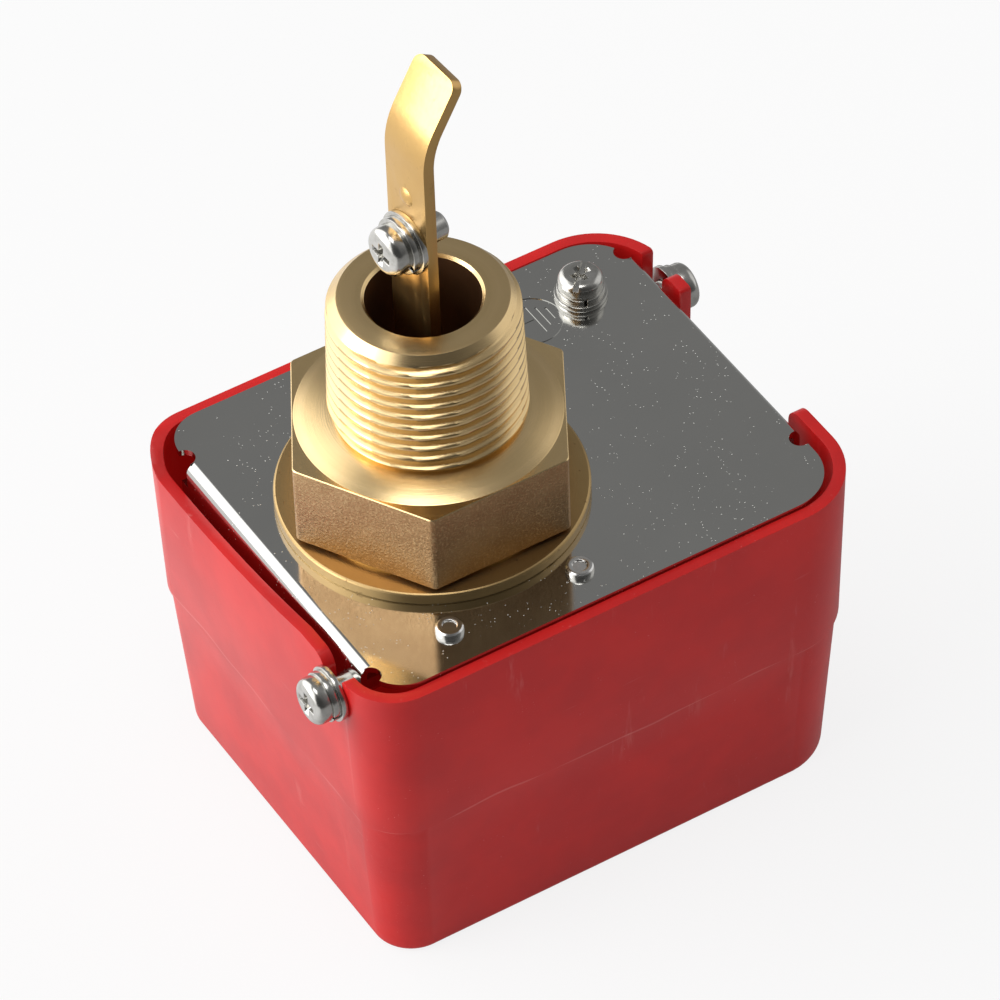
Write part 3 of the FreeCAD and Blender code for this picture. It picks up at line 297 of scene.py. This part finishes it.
def disc_brass():
    """Cast disc that was faced on the lathe: smoother and more golden than the hexagon."""
    f = Finish("disc_brass")
    x, y, z = f.axes()
    radius = (x * x + y * y) ** 0.5
    rings = f.noise(1.0, 3, 0.7, vector=f.joined(radius * 2600, z * 400, 0.0))
    stain = f.noise(70, 4, 0.6)
    pits = f.between(f.noise(900, 2), 0.66, 0.76)
    colour = f.blend(stain, (0.55, 0.38, 0.17), (0.42, 0.28, 0.12))
    colour = f.blend(pits * 0.6, colour, (0.20, 0.11, 0.05))
    rough = 0.24 + rings * 0.12 + stain * 0.1
    return f.set(Base_Color=colour, Metallic=1.0, Roughness=rough,
                 Normal=f.bump(rings + pits, 0.00003, 0.5))


def bore_brass():
    """Dark, oxidised wall of the water passage."""
    f = Finish("bore_brass")
    stain = f.noise(120, 4, 0.6)
    colour = f.blend(stain, (0.16, 0.075, 0.035), (0.26, 0.13, 0.06))
    return f.set(Base_Color=colour, Metallic=0.9, Roughness=0.42 + stain * 0.2,
                 Normal=f.bump(f.noise(900, 3), 0.00005, 0.6))


def strip_brass():
    """Rolled brass strip with long faint draw lines and small dents."""
    f = Finish("strip_brass")
    lines = f.noise(1500, 3, 0.6, (1, 1, 0.03))
    stain = f.noise(110, 4, 0.6)
    dents = f.between(f.noise(700, 2), 0.62, 0.75)
    colour = f.blend(stain, (0.74, 0.48, 0.18), (0.62, 0.38, 0.14))
    colour = f.blend(dents * 0.3, colour, (0.50, 0.32, 0.13))
    rough = 0.24 + lines * 0.14 + dents * 0.08
    uneven = f.bump(f.noise(240, 3), 0.00012, 0.45)
    return f.set(Base_Color=colour, Metallic=1.0, Roughness=rough,
                 Normal=f.bump(lines, 0.00002, 0.6, uneven))


def bright_metal(name, colour, dark, rough):
    """Plated or polished hardware with fine wear."""
    f = Finish(name)
    stain = f.noise(300.0, 4, 0.6)
    fine = f.noise(2500, 3, 0.6)
    tint = f.blend(f.between(stain, 0.35, 0.7), colour, dark)
    return f.set(Base_Color=tint, Metallic=1.0, Roughness=rough + stain * 0.10,
                 Normal=f.bump(fine, 0.00002, 0.4))


def zinc_sheet():
    """Zinc-plated sheet with a faint mottle."""
    f = Finish("zinc_sheet")
    mottle = f.cells(420, feature="SMOOTH_F1")
    stain = f.noise(90, 3)
    colour = f.blend(mottle, (0.60, 0.61, 0.63), (0.47, 0.48, 0.50))
    return f.set(Base_Color=colour, Metallic=1.0, Roughness=0.30 + stain * 0.14,
                 Normal=f.bump(mottle, 0.00002, 0.4))


def dull_plastic(name, colour, dark, rough):
    """Moulded or pressed insulating material with a fine even grain."""
    f = Finish(name)
    grain = f.noise(2200, 3, 0.6)
    stain = f.noise(120, 3)
    return f.set(Base_Color=f.blend(stain, colour, dark), Roughness=rough + grain * 0.1,
                 Normal=f.bump(grain, 0.00004, 0.6))


FINISHES = {
    "red_plastic": red_plastic(),
    "plated_steel": plated_steel(),
    "cast_brass": cast_brass(),
    "turned_brass": turned_brass(),
    "bore_brass": bore_brass(),
    "disc_brass": disc_brass(),
    "strip_brass": strip_brass(),
    "screw_steel": bright_metal("screw_steel", (0.62, 0.61, 0.58), (0.46, 0.45, 0.42), 0.15),
    "stainless": bright_metal("stainless", (0.66, 0.66, 0.66), (0.52, 0.52, 0.53), 0.22),
    "rivet_steel": bright_metal("rivet_steel", (0.78, 0.77, 0.75), (0.62, 0.61, 0.59), 0.14),
    "zinc_sheet": zinc_sheet(),
    "spring_steel": bright_metal("spring_steel", (0.42, 0.42, 0.43), (0.28, 0.28, 0.30), 0.30),
    "switch_plastic": dull_plastic("switch_plastic", (0.030, 0.030, 0.034), (0.018, 0.018, 0.020), 0.42),
    "plunger_plastic": dull_plastic("plunger_plastic", (0.42, 0.045, 0.02), (0.34, 0.03, 0.015), 0.22),
    "terminal_brass": bright_metal("terminal_brass", (0.74, 0.55, 0.28), (0.62, 0.43, 0.20), 0.24),
    "insulator_sheet": dull_plastic("insulator_sheet", (0.24, 0.15, 0.08), (0.18, 0.11, 0.06), 0.55),
}
SLOT_OF = {entry["node"]: entry["material_slot"] for entry in frame["record"]["subparts"]}


# ---- Camera, floor and light ----
CAMERA_TARGET = Vector((8.41, -8.10, 66.8)) * MM
CAMERA_BACK = Vector((-0.3565, -0.6126, 0.7054)).normalized()   # from the target to the camera
CAMERA_DISTANCE = 1.2106
CAMERA_LENS = 258.2
CAMERA_ROLL = -0.039       # radians
FLOOR_HALF = 3.0
FLOOR_TO_CAMERA = 0.85     # share of the floor's own white that the camera sees
FLOOR_TO_MIRRORS = 0.9     # and that shiny surfaces see
ROOM_LIGHT = 0.26
CAMERA_SIDE_DARKER = 0.19
CEILING_LIGHT = 0.25


def make_camera():
    """Long lens, looking down on the near left corner."""
    data = bpy.data.cameras.new("camera")
    data.sensor_width = 36.0
    data.lens = CAMERA_LENS
    data.clip_end = 10.0
    camera = bpy.data.objects.new("camera", data)
    camera.location = CAMERA_TARGET + CAMERA_BACK * CAMERA_DISTANCE
    aim = (-CAMERA_BACK).to_track_quat("-Z", "Y").to_matrix().to_4x4()
    roll = Matrix.Rotation(CAMERA_ROLL, 4, "Z")
    camera.matrix_world = Matrix.Translation(camera.location) @ aim @ roll
    bpy.context.scene.collection.objects.link(camera)
    bpy.context.scene.camera = camera


def make_floor():
    """Pale floor that keeps its shadow: near white to the camera, with a painted shade that makes it darker
    on the near side in mirrors.
    """
    mesh = bpy.data.meshes.new("floor")
    corners = [(x * FLOOR_HALF, y * FLOOR_HALF, 0) for x, y in ((-1, -1), (1, -1), (1, 1), (-1, 1))]
    mesh.from_pydata(corners, [], [(0, 1, 2, 3)])
    floor = bpy.data.objects.new("floor", mesh)
    bpy.context.scene.collection.objects.link(floor)
    f = Finish("floor")
    f.set(Base_Color=(0.72, 0.72, 0.72), Roughness=0.9)
    x, y, _ = f.axes()
    # Painted shade: the glow that shiny surfaces see is dimmer on the near side, standing in for less light
    # falling there.
    painted_shade_in_mirrors = 0.30 + f.between(y * 0.57 - x * 0.82, -0.02, 0.10) * 0.75
    glossy = f.light_path("Is Glossy Ray")
    seen = f.light_path("Is Camera Ray") * FLOOR_TO_CAMERA + glossy * FLOOR_TO_MIRRORS
    strength = 1.0 - glossy * (1.0 - painted_shade_in_mirrors)
    glow = f.node("ShaderNodeEmission", inputs={"Color": (1, 1, 1), "Strength": strength})
    both = f.node("ShaderNodeMixShader", inputs={0: seen, 1: Socket(f, f.shader.outputs[0]), 2: glow})
    f.tree.links.new(both.link, f.output.inputs[0])
    mesh.materials.append(f.material)


# Zones of the room: azimuth in degrees, where the zone starts and is full, its strength, its top.
ROOM_ZONES = ((145, 0.45, 0.68, 1.9, 0.80), (-5, 0.80, 0.97, 0.60, 0.70))


def make_world():
    """Studio room with a bright back left and a dark side behind the camera, white to the camera."""
    world = bpy.data.worlds.new("studio")
    bpy.context.scene.world = world
    world.use_nodes = True
    g = Graph(world.node_tree)
    point = g.node("ShaderNodeTexCoord", output=0)
    split = g.tree.nodes.new("ShaderNodeSeparateXYZ")
    g.tree.links.new(point.link, split.inputs[0])
    x, y, z = [Socket(g, split.outputs[i]) for i in range(3)]
    flat = (x * x + y * y + 0.0001) ** 0.5
    light = ROOM_LIGHT - g.between(-(x * 0.5 + y * 0.87), 0.0, 0.8) * CAMERA_SIDE_DARKER
    for azimuth, start, full, strength, top in ROOM_ZONES:
        a = math.radians(azimuth)
        facing = (x * math.cos(a) + y * math.sin(a)) / flat
        light = light + g.between(facing, start, full) * (1 - g.between(z, top, top + 0.12)) * strength
    light = light + g.between(z, 0.96, 0.99) * CEILING_LIGHT
    room = g.node("ShaderNodeBackground", inputs={"Color": (1, 1, 1), "Strength": light})
    white = g.node("ShaderNodeBackground", inputs={"Color": (1, 1, 1), "Strength": 1.0})
    both = g.node("ShaderNodeMixShader", inputs={0: g.light_path("Is Camera Ray"), 1: room, 2: white})
    output = g.tree.nodes.new("ShaderNodeOutputWorld")
    g.tree.links.new(both.link, output.inputs[0])


def add_softbox(name, place, target, size, power):
    data = bpy.data.lights.new(name, "AREA")
    data.shape = "RECTANGLE"
    data.size, data.size_y = size
    data.energy = power
    lamp = bpy.data.objects.new(name, data)
    lamp.location = place
    lamp.rotation_euler = (Vector(target) - Vector(place)).to_track_quat("-Z", "Y").to_euler()
    bpy.context.scene.collection.objects.link(lamp)


def make_lights():
    centre = (0.01, 0.0, 0.07)
    add_softbox("left_softbox", (-1.0, 0.35, 0.5), centre, (0.7, 0.7), 6.0)
    add_softbox("top_softbox", (-0.15, -0.1, 1.2), centre, (0.5, 0.5), 3.0)


make_camera()
make_floor()
make_world()
make_lights()
bpy.context.scene.view_settings.view_transform = "Standard"


# ---- Mesh helpers ----
WELD_REACH = 0.000002
BEVEL_ANGLE = math.radians(30)   # edges sharper than this are rounded


def mesh_object(name, shape):
    """Object at the origin from a bmesh."""
    mesh = bpy.data.meshes.new(name)
    shape.to_mesh(mesh)
    shape.free()
    made = bpy.data.objects.new(name, mesh)
    bpy.context.scene.collection.objects.link(made)
    return made


def evaluated(source, name):
    """Mesh with the modifiers applied. The source object is removed."""
    bpy.context.view_layer.update()
    result = bpy.data.meshes.new_from_object(source.evaluated_get(bpy.context.evaluated_depsgraph_get()))
    result.name = name
    bpy.data.objects.remove(source)
    return result


def welded(names):
    """One bmesh of CAD nodes in the row frame, with its loose triangles joined."""
    shape = bmesh.new()
    for name in names:
        mesh = NODES[name].data.copy()
        mesh.transform(NODES[name].matrix_world)
        shape.from_mesh(mesh)
        bpy.data.meshes.remove(mesh)
    bmesh.ops.remove_doubles(shape, verts=shape.verts, dist=WELD_REACH)
    bmesh.ops.dissolve_degenerate(shape, edges=shape.edges, dist=WELD_REACH)
    return shape


def add_piece(name, meshes, finishes, body, nodes, smooth=32):
    """One piece from meshes. Each mesh brings its own material numbers into the list of finishes."""
    shape = bmesh.new()
    for mesh in meshes:
        shape.from_mesh(mesh)
        bpy.data.meshes.remove(mesh)
    for face in shape.faces:
        face.smooth = True
    piece = mesh_object(name, shape)
    for finish in finishes:
        piece.data.materials.append(FINISHES[finish])
    piece.data.set_sharp_from_angle(angle=math.radians(smooth))
    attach(piece, body)
    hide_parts(*nodes)


def softened(name, nodes, width, segments=2):
    """Copy of CAD nodes whose sharp edges are rounded."""
    source = mesh_object(name, welded(nodes))
    bevel = source.modifiers.new("edges", "BEVEL")
    bevel.width = width
    bevel.segments = segments
    bevel.limit_method = "ANGLE"
    bevel.angle_limit = BEVEL_ANGLE
    bevel.use_clamp_overlap = True
    bevel.miter_outer = "MITER_ARC"
    return evaluated(source, name)


def swept_ring(name, loops, index=0):
    """Closed surface from rings of points, joined in order and back to the first one."""
    shape = bmesh.new()
    rings = [[shape.verts.new(point) for point in loop] for loop in loops]
    count = len(rings[0])
    for first, second in zip(rings, rings[1:] + rings[:1]):
        for i in range(count):
            j = (i + 1) % count
            face = shape.faces.new((first[i], first[j], second[j], second[i]))
            face.material_index = index
    bmesh.ops.recalc_face_normals(shape, faces=shape.faces)
    mesh = bpy.data.meshes.new(name)
    shape.to_mesh(mesh)
    shape.free()
    return mesh


def circle_points(radius, z, count):
    """One ring of points. The radius is a number, or a function of the angle."""
    points = []
    for i in range(count):
        a = TURN * i / count
        r = radius(a) if callable(radius) else radius
        points.append((r * math.cos(a), r * math.sin(a), z))
    return points


def lathe(name, outline, count, index=0):
    return swept_ring(name, [circle_points(r, z, count) for r, z in outline], index)


# ---- Repeated parts by Geometry Nodes ----
def input_socket(group, name, kind):
    return group.interface.new_socket(name=name, in_out="INPUT", socket_type=kind)


def repeat_group():
    """A prototype set on every point. Each point says where its +Z aims and how far it is turned."""
    group = bpy.data.node_groups.new("repeat_part", "GeometryNodeTree")
    g = Graph(group)
    input_socket(group, "Geometry", "NodeSocketGeometry")
    input_socket(group, "Part", "NodeSocketObject")
    input_socket(group, "Material", "NodeSocketMaterial")
    group.interface.new_socket(name="Geometry", in_out="OUTPUT", socket_type="NodeSocketGeometry")
    given = group.nodes.new("NodeGroupInput")
    points, part, material = [Socket(g, given.outputs[i]) for i in range(3)]
    shape = g.node("GeometryNodeObjectInfo", inputs={"Object": part}, output="Geometry")
    aim = g.node("GeometryNodeInputNamedAttribute", {"data_type": "FLOAT_VECTOR"}, {"Name": "aim"})
    spin = g.node("GeometryNodeInputNamedAttribute", {"data_type": "FLOAT"}, {"Name": "spin"})
    facing = g.node("FunctionNodeAlignRotationToVector", {"axis": "Z"}, {"Vector": aim})
    turn = g.node("FunctionNodeAxisAngleToRotation", inputs={"Axis": (0, 0, 1), "Angle": spin})
    both = g.node("FunctionNodeRotateRotation", {"rotation_space": "LOCAL"},
                  {"Rotation": facing, "Rotate By": turn})
    placed = g.node("GeometryNodeInstanceOnPoints", inputs={
        "Points": points, "Instance": shape, "Rotation": both})
    return finish_group(g, group, placed, material)


def finish_group(g, group, shape, material):
    whole = g.node("GeometryNodeRealizeInstances", inputs={"Geometry": shape})
    painted = g.node("GeometryNodeSetMaterial", inputs={"Geometry": whole, "Material": material})
    output = group.nodes.new("NodeGroupOutput")
    group.links.new(painted.link, output.inputs[0])
    return group


REPEAT = repeat_group()


def grown(name, base, group, values):
    """Mesh of a Geometry Nodes group on a base mesh, with inputs by name."""
    source = bpy.data.objects.new(name, base)
    bpy.context.scene.collection.objects.link(source)
    modifier = source.modifiers.new("parts", "NODES")
    modifier.node_group = group
    for item in group.interface.items_tree:
        if item.in_out == "INPUT" and item.name in values:
            modifier[item.identifier] = values[item.name]
    mesh = evaluated(source, name)
    for polygon in mesh.polygons:
        polygon.material_index = 0
    return mesh


def at_points(name, prototype, places, finish):
    """Copies of a prototype mesh at (point, aim, spin) places."""
    part = bpy.data.objects.new(name + "_part", prototype)
    bpy.context.scene.collection.objects.link(part)
    base = bpy.data.meshes.new(name)
    base.from_pydata([place[0] for place in places], [], [])
    base.attributes.new("aim", "FLOAT_VECTOR", "POINT")
    base.attributes.new("spin", "FLOAT", "POINT")
    for i, (_, aim, spin) in enumerate(places):
        base.attributes["aim"].data[i].vector = aim
        base.attributes["spin"].data[i].value = spin
    mesh = grown(name, base, REPEAT, {"Part": part, "Material": FINISHES[finish]})
    bpy.data.objects.remove(part)
    return mesh


# ---- Threaded fitting ----
def hex_radius(angle, shrink=0.0):
    """Distance from the axis to the hexagon's side, with rounded corners."""
    flat = HEX_FLATS / 2 - shrink
    corner = (angle + math.pi / 6) % (math.pi / 3) - math.pi / 6
    centre = (flat - HEX_ROUND) / math.cos(math.pi / 6)
    off = abs(corner)
    side = flat / math.cos(math.pi / 6 - off)
    reach = HEX_ROUND ** 2 - (centre * math.sin(off)) ** 2
    if reach <= 0:
        return side
    arc = centre * math.cos(off) + math.sqrt(reach)
    tangent = math.atan2(HEX_ROUND * math.sin(math.pi / 6), centre + HEX_ROUND * math.cos(math.pi / 6))
    return arc if off < tangent else side


def thread_radius_at(angle, z, top):
    """Surface of the taper thread: a helix with 55 degree flanks, flat crests and round roots."""
    crest = THREAD_RADIUS + (top - z) * THREAD_TAPER
    phase = ((top - z) / THREAD_PITCH + angle / TURN) % 1.0
    away = min(phase, 1.0 - phase)
    depth = min(max((away - CREST_SHARE) / FLANK_SHARE, 0.0), 1.0)
    depth = depth - 0.12 * math.sin(TURN * depth) / TURN * 2
    chamfer = END_FACE + (NIPPLE_TOP - z) * (THREAD_RADIUS - END_FACE) / END_CHAMFER
    fade = min(max((z - CONE_TOP - 0.2 * MM) / (0.9 * MM), 0.0), 1.0)
    bottom = min(NECK_RADIUS, crest - 0.2 * MM)
    full = crest - THREAD_DEPTH * depth
    return min(bottom + (full - bottom) * fade, chamfer)


def nipple_mesh():
    """Turned nipple: bore, lip, end face, chamfer, helical thread, neck and cone."""
    count = 240
    low = HEX_TOP - 1.0 * MM
    lip = BORE_RADIUS + LIP
    loops = [circle_points(BORE_RADIUS, low, count), circle_points(BORE_RADIUS, NIPPLE_TOP - LIP, count),
             circle_points(lip, NIPPLE_TOP, count), circle_points(END_FACE - 0.15 * MM, NIPPLE_TOP, count)]
    top = NIPPLE_TOP - END_CHAMFER - 0.5 * MM
    step = THREAD_PITCH / RINGS_PER_PITCH
    z = NIPPLE_TOP - 0.06 * MM
    while z > CONE_TOP + 0.1 * MM:
        loops.append(circle_points(lambda a, z=z: thread_radius_at(a, z, top), z, count))
        z -= step
    for r, height in ((NECK_RADIUS, CONE_TOP), (CONE_RADIUS - 0.25 * MM, HEX_TOP + 0.06 * MM),
                      (CONE_RADIUS, HEX_TOP - 0.1 * MM), (CONE_RADIUS, low)):
        loops.append(circle_points(r, height, count))
    mesh = swept_ring("nipple", loops, 0)
    for polygon in mesh.polygons:
        centre = polygon.center
        if math.hypot(centre.x, centre.y) < BORE_RADIUS + 0.1 * MM:
            polygon.material_index = 2
    return mesh


def hexagon_mesh():
    count = 720
    edge = 0.25 * MM

    def side(shrink):
        return lambda a: hex_radius(a, shrink)

    outline = ((BORE_RADIUS, HEX_LOW), (side(edge), HEX_LOW), (side(edge * 0.3), HEX_LOW + edge * 0.3),
               (side(0), HEX_LOW + edge), (side(0), HEX_TOP - edge * 0.6), (side(edge * 0.6), HEX_TOP),
               (BORE_RADIUS, HEX_TOP))
    mesh = swept_ring("hexagon", [circle_points(r, z, count) for r, z in outline], 1)
    for polygon in mesh.polygons:
        if polygon.center.z > HEX_TOP - edge * 0.4:
            polygon.material_index = 0
    return mesh


def disc_mesh():
    outline = [(BORE_RADIUS, PLATE_TOP), (DISC_RADIUS - 0.2 * MM, PLATE_TOP),
               (DISC_RADIUS, PLATE_TOP + 0.25 * MM), (DISC_RADIUS, DISC_TOP - DISC_CHAMFER),
               (DISC_RADIUS - DISC_CHAMFER * 0.4, DISC_TOP - DISC_CHAMFER * 0.35),
               (DISC_RADIUS - DISC_CHAMFER, DISC_TOP), (HEX_NECK, DISC_TOP),
               (HEX_NECK, HEX_LOW + 0.3 * MM), (BORE_RADIUS, HEX_LOW + 0.3 * MM)]
    return lathe("disc", outline, 300, 3)


add_piece("threaded_fitting", [nipple_mesh(), hexagon_mesh(), disc_mesh()],
          ("turned_brass", "cast_brass", "bore_brass", "disc_brass"), "base",
          ["threaded_fitting"], smooth=25)


# ---- Cover, plate and arm ----
add_piece("cover_shell", [softened("cover_shell", ["cover"], 0.30 * MM, 3)], ("red_plastic",), "cover",
          ["cover"])
add_piece("bent_arm", [softened("bent_arm", ["paddle_arm"], 0.35 * MM, 3)], ("strip_brass",), "arm",
          ["paddle_arm"])


# ---- Screws, washers and rivets ----
def closed_poles(mesh):
    """The rings of no radius at a lathe shape's ends become single points."""
    shape = bmesh.new()
    shape.from_mesh(mesh)
    bmesh.ops.remove_doubles(shape, verts=shape.verts, dist=0.001 * MM)
    bmesh.ops.recalc_face_normals(shape, faces=shape.faces)
    shape.to_mesh(mesh)
    shape.free()
    return mesh


def rivet_mesh():
    """Tubular rivet, its head standing on z = 0: cupped head, shank, and the tail's head beneath."""
    low = RIVET_BOX[0].z - PLATE_TOP
    top = RIVET_BOX[1].z - PLATE_TOP
    tail = low + RIVET_TAIL
    edge = RIVET_RADIUS * 0.84
    return closed_poles(lathe("rivet", [
        (0.0, low), (edge, low), (RIVET_RADIUS, low + 0.3 * MM), (RIVET_RADIUS, tail),
        (RIVET_SHANK, tail), (RIVET_SHANK, 0.0), (RIVET_RADIUS, 0.0), (RIVET_RADIUS, top * 0.5),
        (RIVET_RADIUS * 0.95, top * 0.8), (edge, top * 0.97), (RIVET_CUP * 1.2, top),
        (RIVET_CUP, top * 0.93), (RIVET_CUP * 0.9, top - RIVET_CUP_DEPTH),
        (0.0, top - RIVET_CUP_DEPTH * 1.05)], 64))


add_piece("plate_rivets", [at_points("plate_rivets", rivet_mesh(), RIVET_PLACES, "rivet_steel")],
          ("rivet_steel",), "base", ["frame_rivets"])
for node_name, piece_name, width, body in (
        ("cover_screws", "cover_screws_bright", 0.16, "base"),
        ("cover_flat_washers", "cover_washers_bright", 0.10, "base"),
        ("cover_spring_washers", "cover_springs_bright", 0.14, "base"),
        ("paddle_screw", "paddle_screw_bright", 0.16, "arm"),
        ("paddle_flat_washer", "paddle_washer_bright", 0.10, "arm"),
        ("paddle_spring_washer", "paddle_spring_bright", 0.14, "arm"),
        ("earth_screw", "earth_screw_bright", 0.14, "base"),
        ("earth_flat_washer", "earth_washer_bright", 0.10, "base"),
        ("earth_spring_washer", "earth_spring_bright", 0.12, "base")):
    add_piece(piece_name, [softened(piece_name, [node_name], width * MM)], ("screw_steel",), body,
              [node_name])


# ---- CAD nodes that keep their shape ----
def paint(piece, finish):
    piece.data.materials.clear()
    piece.data.materials.append(FINISHES[finish])


for node_name, node in NODES.items():
    paint(node, SLOT_OF[node_name])
